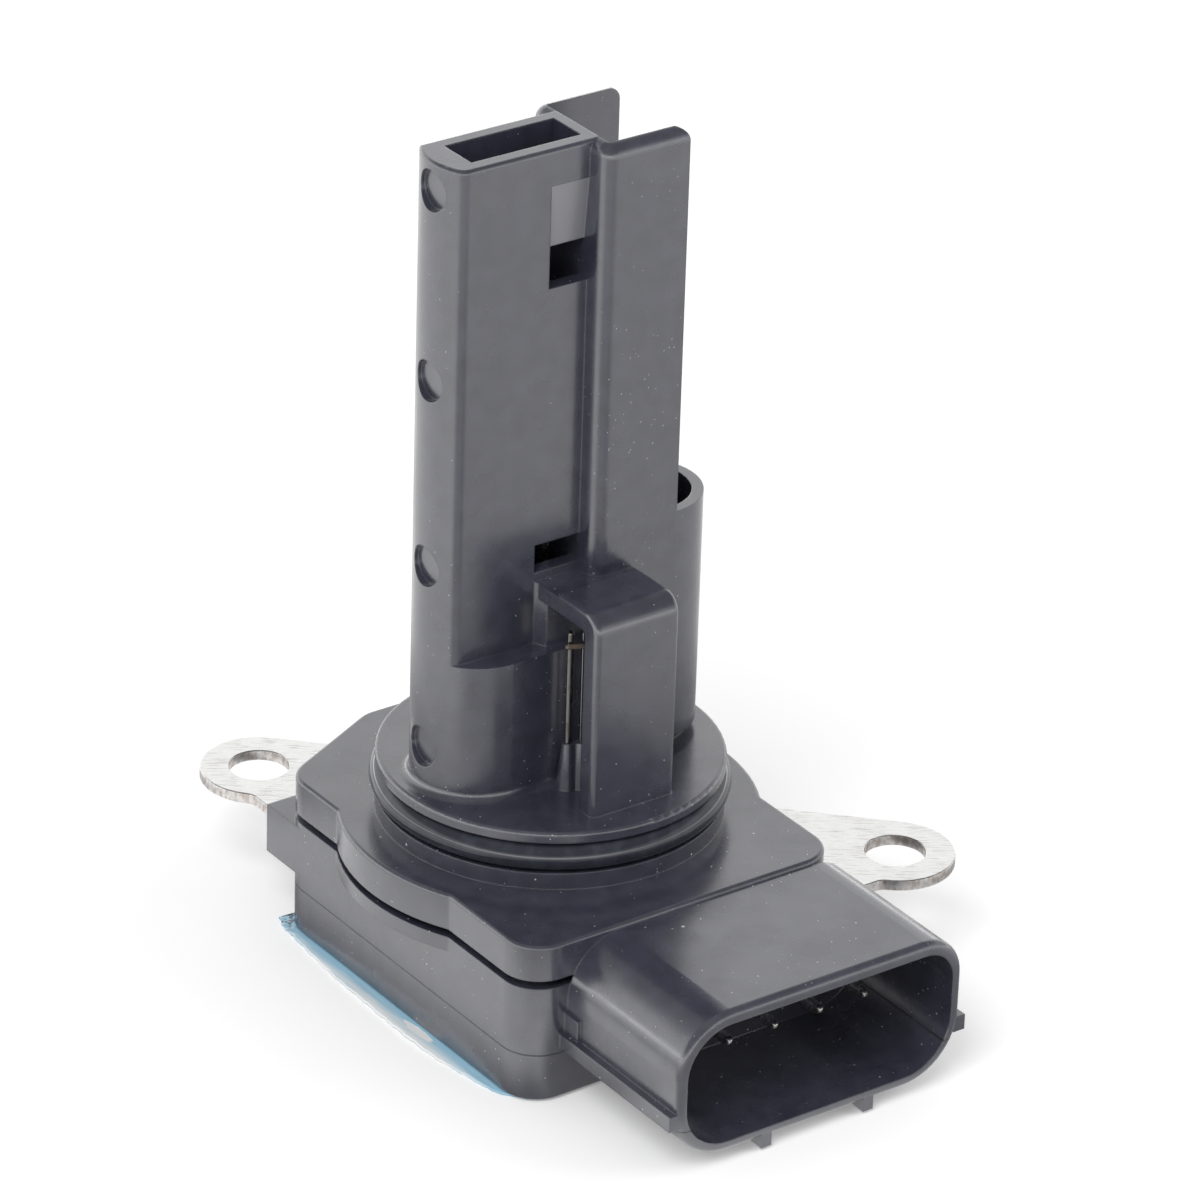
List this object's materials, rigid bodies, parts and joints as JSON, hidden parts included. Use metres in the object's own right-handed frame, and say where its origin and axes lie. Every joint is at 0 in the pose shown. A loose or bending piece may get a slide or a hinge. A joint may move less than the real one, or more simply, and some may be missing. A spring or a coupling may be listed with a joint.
{
  "type": "mass airflow sensor",
  "caption": "Plug-in mass airflow sensor: flat probe with air passage and side channel, sealed collar, two-eared steel plate and a rounded connector socket.",
  "frame": {"origin": "on the round collar's axis, in the plane of the steel plate's upper face", "axes": "+Z along the probe towards its tip, -Y out of the connector's mouth, +X from the probe's rounded side towards its open channel"},
  "size_m": [0.0433, 0.0596, 0.0689],
  "materials": {
    "housing_plastic": "dark grey glass-filled moulding, semi-gloss, light dust",
    "cover_plastic": "dark grey glass-filled moulding, semi-gloss",
    "plate_steel": "bright rolled steel with fine grain and dull sheared edges",
    "seal_rubber": "smooth black rubber, slightly oily",
    "label_blue_film": "thin light blue film, crumpled at one corner",
    "terminal_tin": "tin-plated contact",
    "board_ceramic": "fired alumina",
    "chip_black": "moulded epoxy body",
    "capacitor_tan": "fired ceramic body",
    "resistor_film": "printed resistor film",
    "post_nickel": "nickel-plated post",
    "element_glaze": "glazed element",
    "lead_metal": "bright lead with a copper-brown edge",
    "bead_glass": "glass bead"
  },
  "bodies": {
    "root": {"sensor_housing": "housing_plastic", "mount_plate": "plate_steel", "seal_ring": "seal_rubber", "bottom_cover": "cover_plastic", "label_film": "label_blue_film", "connector_terminal_1": "terminal_tin", "connector_terminal_2": "terminal_tin", "connector_terminal_3": "terminal_tin", "connector_terminal_4": "terminal_tin", "connector_terminal_5": "terminal_tin", "circuit_board": "board_ceramic", "control_chip": "chip_black", "heater_transistor": "chip_black", "surge_diode": "chip_black", "filter_capacitor_1": "capacitor_tan", "filter_capacitor_2": "capacitor_tan", "trim_resistor_1": "resistor_film", "trim_resistor_2": "resistor_film", "sensing_post_1": "post_nickel", "sensing_post_2": "post_nickel", "sensing_post_3": "post_nickel", "sensing_post_4": "post_nickel", "heating_element": "element_glaze", "reference_element": "element_glaze", "thermistor_lead_left": "lead_metal", "thermistor_lead_right": "lead_metal", "thermistor_bead": "bead_glass"}
  },
  "joints": []
}
